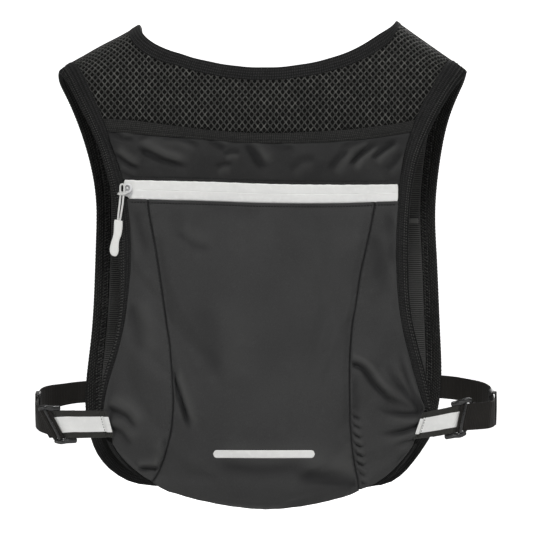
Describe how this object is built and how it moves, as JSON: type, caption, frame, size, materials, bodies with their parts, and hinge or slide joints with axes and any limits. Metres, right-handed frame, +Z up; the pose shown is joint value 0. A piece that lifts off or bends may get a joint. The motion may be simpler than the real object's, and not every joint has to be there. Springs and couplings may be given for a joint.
{
  "type": "running vest",
  "caption": "Sleeveless running vest with mesh shoulders, zipped back pocket, front zip and adjustable side straps with reflective strips.",
  "frame": {"origin": "on the wearer's side of the back panel, on its flat middle, a little above half height", "axes": "+Z up, +Y from the back towards the wearer's chest, +X to the wearer's right"},
  "size_m": [0.42, 0.1139, 0.4413],
  "materials": {
    "lining": "matte knit lining",
    "mesh": "open diamond spacer mesh",
    "fabric": "matte woven nylon",
    "binding": "smooth folded binding tape",
    "reflective": "silver reflective film",
    "coil": "moulded zip teeth",
    "elastic": "ribbed elastic",
    "webbing": "flat woven webbing",
    "plastic": "moulded black plastic",
    "zipmetal": "plated metal",
    "rubber": "pale moulded rubber",
    "cord": "braided cord"
  },
  "bodies": {
    "vest": {"back_lining": "lining", "front_lining_left": "lining", "front_lining_right": "lining", "back_mesh_yoke": "mesh", "front_mesh_shoulder_left": "mesh", "front_mesh_shoulder_right": "mesh", "front_edge_mesh_left": "mesh", "front_edge_mesh_right": "mesh", "upper_back_panel": "fabric", "pocket_centre_panel": "fabric", "pocket_side_panel_left": "fabric", "pocket_side_panel_right": "fabric", "front_panel_left": "fabric", "front_panel_right": "fabric", "chest_pocket_left": "fabric", "chest_pocket_right": "fabric", "yoke_seam_tape": "binding", "back_hem_binding": "binding", "armhole_binding_left": "binding", "armhole_binding_right": "binding", "neck_binding": "binding", "front_hem_binding_left": "binding", "front_hem_binding_right": "binding", "back_zip_tape_upper": "reflective", "back_zip_tape_lower": "reflective", "front_reflective_strip_left": "reflective", "front_reflective_strip_right": "reflective", "front_zip_tape_left": "reflective", "front_zip_tape_right": "reflective", "chest_zip_tape_upper_left": "reflective", "chest_zip_tape_lower_left": "reflective", "chest_zip_tape_upper_right": "reflective", "chest_zip_tape_lower_right": "reflective", "side_reflective_strip_left": "reflective", "side_reflective_strip_right": "reflective", "front_zip_teeth_left": "coil", "front_zip_teeth_right": "coil", "front_elastic_lining_left": "elastic", "front_elastic_lining_right": "elastic", "side_tab_webbing_left": "webbing", "side_tab_webbing_right": "webbing", "side_strap_webbing_left": "webbing", "side_strap_webbing_right": "webbing", "inner_loop_right": "cord"},
    "back_zip_slider": {"back_zip_slider": "zipmetal"},
    "back_pull_cord": {"back_pull_cord": "cord"},
    "back_pull_grip": {"back_pull_grip": "rubber"},
    "ladder_lock_left": {"ladder_lock_left": "plastic", "lock_webbing_left": "webbing"},
    "ladder_lock_right": {"ladder_lock_right": "plastic", "lock_webbing_right": "webbing"},
    "tri_glide_left": {"tri_glide_left": "plastic"},
    "tri_glide_right": {"tri_glide_right": "plastic"},
    "front_zip_slider": {"front_zip_slider": "zipmetal"},
    "front_zip_pull": {"front_zip_pull": "rubber"},
    "chest_zip_slider_left": {"chest_zip_slider_left": "zipmetal"},
    "chest_pull_left": {"chest_pull_left": "rubber"},
    "chest_zip_slider_right": {"chest_zip_slider_right": "zipmetal"},
    "chest_pull_right": {"chest_pull_right": "rubber"}
  },
  "joints": [
    {"name": "back_zip_slide", "type": "slide", "parent": "vest", "child": "back_zip_slider", "axis": [1, 0, -0.0095], "range_m": [0, 0.232]},
    {"name": "back_pull_lift", "type": "hinge", "parent": "back_zip_slider", "child": "back_pull_cord", "pos_m": [-0.125, -0.00915, 0.08844], "axis": [-1, 0, 0], "range_deg": [0, 110]},
    {"name": "back_grip_swing", "type": "hinge", "parent": "back_pull_cord", "child": "back_pull_grip", "pos_m": [-0.1277, -0.00815, 0.06344], "axis": [0, 1, 0], "range_deg": [-25, 40]},
    {"name": "front_zip_slide", "type": "slide", "parent": "vest", "child": "front_zip_slider", "axis": [0, 0, -1], "range_m": [0, 0.254]},
    {"name": "front_pull_lift", "type": "hinge", "parent": "front_zip_slider", "child": "front_zip_pull", "pos_m": [0, 0.0915, 0.09413], "axis": [1, 0, 0], "range_deg": [0, 120]},
    {"name": "chest_zip_slide_left", "type": "slide", "parent": "vest", "child": "chest_zip_slider_left", "axis": [1, 0, 0], "range_m": [0, 0.083]},
    {"name": "chest_pull_lift_left", "type": "hinge", "parent": "chest_zip_slider_left", "child": "chest_pull_left", "pos_m": [-0.112, 0.0934, 0.0603], "axis": [1, 0, 0], "range_deg": [0, 110]},
    {"name": "ladder_lock_tilt_left", "type": "hinge", "parent": "vest", "child": "ladder_lock_left", "pos_m": [-0.179, 0.0042, -0.1212], "axis": [-0.4614, 0, 0.8872], "range_deg": [-15, 15]},
    {"name": "tri_glide_slide_left", "type": "slide", "parent": "vest", "child": "tri_glide_left", "axis": [0, 0.9835, 0.1812], "range_m": [-0.009, 0.011]},
    {"name": "chest_zip_slide_right", "type": "slide", "parent": "vest", "child": "chest_zip_slider_right", "axis": [-1, 0, 0], "range_m": [0, 0.083]},
    {"name": "chest_pull_lift_right", "type": "hinge", "parent": "chest_zip_slider_right", "child": "chest_pull_right", "pos_m": [0.112, 0.0934, 0.0603], "axis": [1, 0, 0], "range_deg": [0, 110]},
    {"name": "ladder_lock_tilt_right", "type": "hinge", "parent": "vest", "child": "ladder_lock_right", "pos_m": [0.1685, 0.0042, -0.1174], "axis": [0.1961, 0, 0.9806], "range_deg": [-15, 15]},
    {"name": "tri_glide_slide_right", "type": "slide", "parent": "vest", "child": "tri_glide_right", "axis": [0, 0.9835, 0.1812], "range_m": [-0.009, 0.011]}
  ]
}
